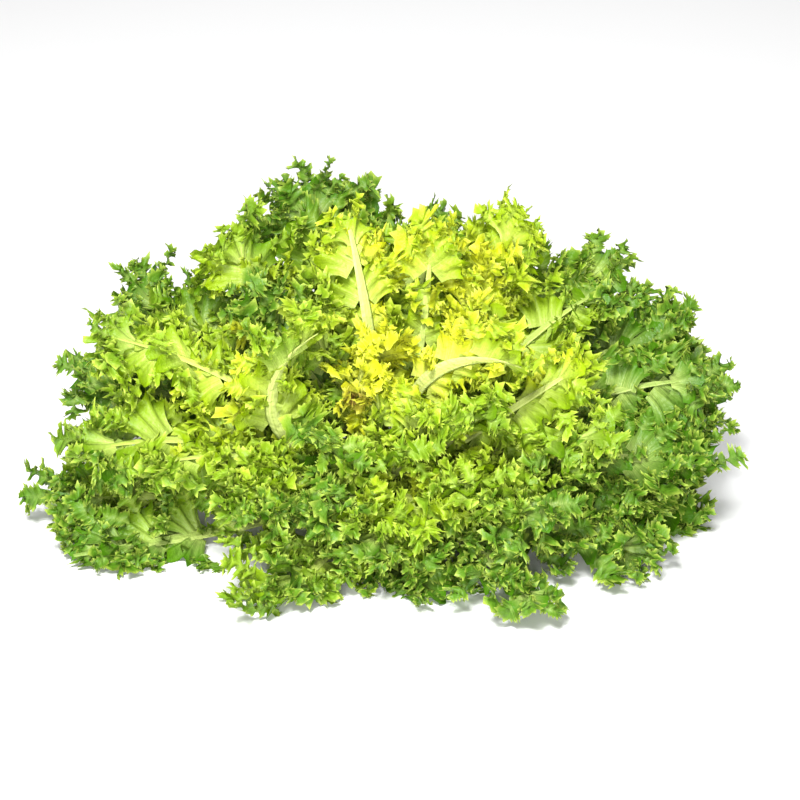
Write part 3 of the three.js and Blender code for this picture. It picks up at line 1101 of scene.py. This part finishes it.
class ENDIVE_OT_stump(bpy.types.Operator):
    """Add the cut stump that the leaves grow from"""

    bl_idname = "endive.stump"
    bl_label = "Stump"
    bl_options = {"REGISTER", "UNDO"}

    def execute(self, context):
        bm = bmesh.new()
        profile = [bm.verts.new(AXIS * -STUMP_RADIUS)]
        for ring in range(STUMP_RINGS + 1):
            along = mix(-STUMP_RADIUS, STUMP_HEIGHT, ring / STUMP_RINGS)
            profile.append(bm.verts.new(AXIS * along + ACROSS * stump_radius(along)))
        profile.append(bm.verts.new(AXIS * (STUMP_HEIGHT + STUMP_CROWN)))
        edges = [bm.edges.new(pair) for pair in zip(profile, profile[1:])]
        bmesh.ops.spin(
            bm,
            geom=profile + edges,
            cent=(0, 0, 0),
            axis=AXIS,
            angle=math.tau,
            steps=STUMP_SIDES,
            use_merge=True,
        )
        bmesh.ops.remove_doubles(bm, verts=bm.verts, dist=0.01)
        cut = bmesh.ops.bisect_plane(
            bm,
            geom=bm.verts[:] + bm.edges[:] + bm.faces[:],
            plane_co=(0, 0, 0),
            plane_no=(0, 0, 1),
            clear_inner=True,
        )
        rim = [edge for edge in cut["geom_cut"] if isinstance(edge, bmesh.types.BMEdge)]
        bmesh.ops.contextual_create(bm, geom=rim)
        bmesh.ops.recalc_face_normals(bm, faces=bm.faces)
        bmesh.ops.scale(bm, vec=(MM, MM, MM), verts=bm.verts)
        for face in bm.faces:
            face.smooth = len(face.verts) < 5
        mesh = bpy.data.meshes.new("stump_fine")
        bm.to_mesh(mesh)
        bm.free()
        mesh.materials.append(stump_tissue(context.scene.endive_colours))
        stump = bpy.data.objects.new("stump_fine", mesh)
        context.scene.collection.objects.link(stump)
        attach(stump, "root")
        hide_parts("stump")
        return {"FINISHED"}


class ENDIVE_OT_stage(bpy.types.Operator):
    """Add the plain pale table, the soft light and the camera"""

    bl_idname = "endive.stage"
    bl_label = "Stage"
    bl_options = {"REGISTER", "UNDO"}

    def execute(self, context):
        scene = context.scene
        stage = scene.endive_stage
        bm = bmesh.new()
        bmesh.ops.create_grid(bm, x_segments=1, y_segments=1, size=TABLE_HALF_WIDTH)
        mesh = bpy.data.meshes.new("table")
        bm.to_mesh(mesh)
        bm.free()
        mesh.materials.append(white_paper())
        table = bpy.data.objects.new("table", mesh)
        scene.collection.objects.link(table)

        world = bpy.data.worlds.new("soft studio")
        scene.world = world
        world.use_nodes = True
        background = world.node_tree.nodes["Background"]
        background.inputs["Color"].default_value = (1, 1, 1, 1)
        background.inputs["Strength"].default_value = stage.light

        for name, place, size, power in SOFTBOXES:
            lamp = bpy.data.lights.new(name, "AREA")
            lamp.size = size
            lamp.energy = power
            light = bpy.data.objects.new(name, lamp)
            light.location = place
            aim = Vector((0, max(0, place[1]), AIM_HEIGHT)) - Vector(place)
            light.rotation_euler = aim.to_track_quat("-Z", "Y").to_euler()
            scene.collection.objects.link(light)

        lens = bpy.data.cameras.new("camera")
        lens.sensor_width = SENSOR_WIDTH
        lens.lens = LENS
        lens.shift_x, lens.shift_y = SHIFT
        camera = bpy.data.objects.new("camera", lens)
        height = stage.camera_height
        away = Vector((0, -math.cos(height), math.sin(height))) * stage.camera_distance
        camera.location = Vector(TARGET) + away
        camera.rotation_euler = (-away).to_track_quat("-Z", "Y").to_euler()
        scene.collection.objects.link(camera)
        scene.camera = camera
        scene.view_settings.view_transform = "Standard"
        return {"FINISHED"}


class ENDIVE_PT_panel(bpy.types.Panel):
    """Lists the sizes, the colours and the pieces."""

    bl_idname = "ENDIVE_PT_panel"
    bl_label = "Curly Endive"
    bl_space_type = "VIEW_3D"
    bl_region_type = "UI"
    bl_category = "Endive"

    def draw(self, context):
        scene = context.scene
        for group in (scene.endive_sizes, scene.endive_colours, scene.endive_stage):
            column = self.layout.column()
            for name in type(group).__annotations__:
                column.prop(group, name)
        for operator in OPERATORS:
            self.layout.operator(operator.bl_idname)


OPERATORS = (
    ENDIVE_OT_stump,
    ENDIVE_OT_outer_leaves,
    ENDIVE_OT_middle_leaves,
    ENDIVE_OT_heart_leaves,
    ENDIVE_OT_stage,
)
CLASSES = (EndiveSizes, EndiveColours, EndiveStage, *OPERATORS, ENDIVE_PT_panel)


def register():
    """Registers the classes and the settings that they read."""
    for made in CLASSES:
        bpy.utils.register_class(made)
    bpy.types.Scene.endive_sizes = bpy.props.PointerProperty(type=EndiveSizes)
    bpy.types.Scene.endive_colours = bpy.props.PointerProperty(type=EndiveColours)
    bpy.types.Scene.endive_stage = bpy.props.PointerProperty(type=EndiveStage)


def unregister():
    """Takes the classes and the settings away again."""
    del bpy.types.Scene.endive_stage
    del bpy.types.Scene.endive_colours
    del bpy.types.Scene.endive_sizes
    for made in reversed(CLASSES):
        bpy.utils.unregister_class(made)


def main():
    """Makes the whole head and its stage."""
    register()
    bpy.ops.endive.stump()
    bpy.ops.endive.outer_leaves()
    bpy.ops.endive.middle_leaves()
    bpy.ops.endive.heart_leaves()
    bpy.ops.endive.stage()


if __name__ == "__main__":
    main()
